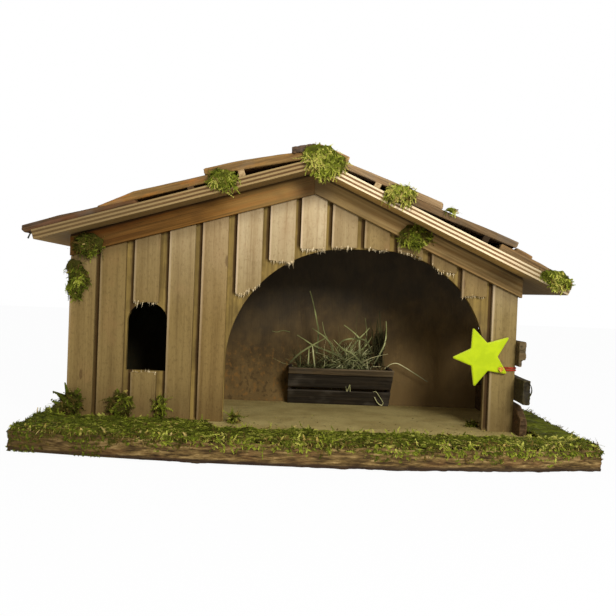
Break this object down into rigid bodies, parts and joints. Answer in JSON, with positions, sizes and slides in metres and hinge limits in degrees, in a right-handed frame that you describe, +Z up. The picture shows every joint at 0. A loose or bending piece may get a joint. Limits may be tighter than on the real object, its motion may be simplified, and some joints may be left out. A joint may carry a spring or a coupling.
{
  "type": "wooden nativity stable",
  "caption": "Rustic wooden crib stable with an arched front, shingled gable roof, moss-edged base, manger and a star that turns on its tie.",
  "frame": {"origin": "middle of the base board's underside", "axes": "+X to the viewer's right along the front, +Y into the depth, +Z up"},
  "size_m": [0.514, 0.282, 0.2792],
  "materials": {
    "base_wood": "sand-coloured floor finish on board",
    "bark": "rough bark",
    "wall_ply": "thin plywood",
    "batten_wood": "sawn strip",
    "barge_wood": "brown stain",
    "roof_ply": "plywood with bare edges",
    "lath_wood": "sawn lath",
    "shingle_wood": "rough split shingle",
    "dark_wood": "dark rough board",
    "hay": "dry stalks",
    "moss": "dried moss",
    "star_plastic": "glowing yellow-green plastic",
    "band": "twisted band",
    "knot": "knot of thread"
  },
  "bodies": {
    "stable": {"back_wall": "wall_ply", "barge_left": "barge_wood", "barge_right": "barge_wood", "bark_front": "bark", "bark_left": "bark", "bark_right": "bark", "base_board": "base_wood", "batten_01": "batten_wood", "batten_02": "batten_wood", "batten_03_lower": "batten_wood", "batten_03_upper": "batten_wood", "batten_04": "batten_wood", "batten_05": "batten_wood", "batten_06": "batten_wood", "batten_07": "batten_wood", "batten_08": "batten_wood", "batten_09": "batten_wood", "batten_10": "batten_wood", "batten_11": "batten_wood", "batten_12": "batten_wood", "batten_13": "batten_wood", "batten_14": "batten_wood", "fence_board_low": "dark_wood", "fence_board_mid": "dark_wood", "fence_board_top": "dark_wood", "front_wall": "wall_ply", "hay": "hay", "left_wall": "wall_ply", "manger_end_left": "dark_wood", "manger_end_right": "dark_wood", "manger_floor": "dark_wood", "manger_rail": "dark_wood", "manger_slats": "dark_wood", "moss_bed_front": "moss", "moss_bed_left": "moss", "moss_bed_right": "moss", "moss_ground_tufts": "moss", "moss_ridge": "moss", "moss_roof_tufts": "moss", "moss_wall_tufts": "moss", "partition_wall": "wall_ply", "ridge_board_left": "shingle_wood", "ridge_board_right": "shingle_wood", "roof_laths_left": "lath_wood", "roof_laths_right": "lath_wood", "roof_panel_left": "roof_ply", "roof_panel_right": "roof_ply", "shingles_left_low": "shingle_wood", "shingles_left_mid": "shingle_wood", "shingles_left_top": "shingle_wood", "shingles_right_low": "shingle_wood", "shingles_right_mid": "shingle_wood", "shingles_right_top": "shingle_wood", "star_band": "band", "star_tie": "knot"},
    "star": {"star": "star_plastic"}
  },
  "joints": [
    {"name": "star_turn", "type": "hinge", "parent": "stable", "child": "star", "pos_m": [0.1823, -0.0322, 0.07812], "axis": [0, -1, 0], "range_deg": [-15, 80]}
  ]
}
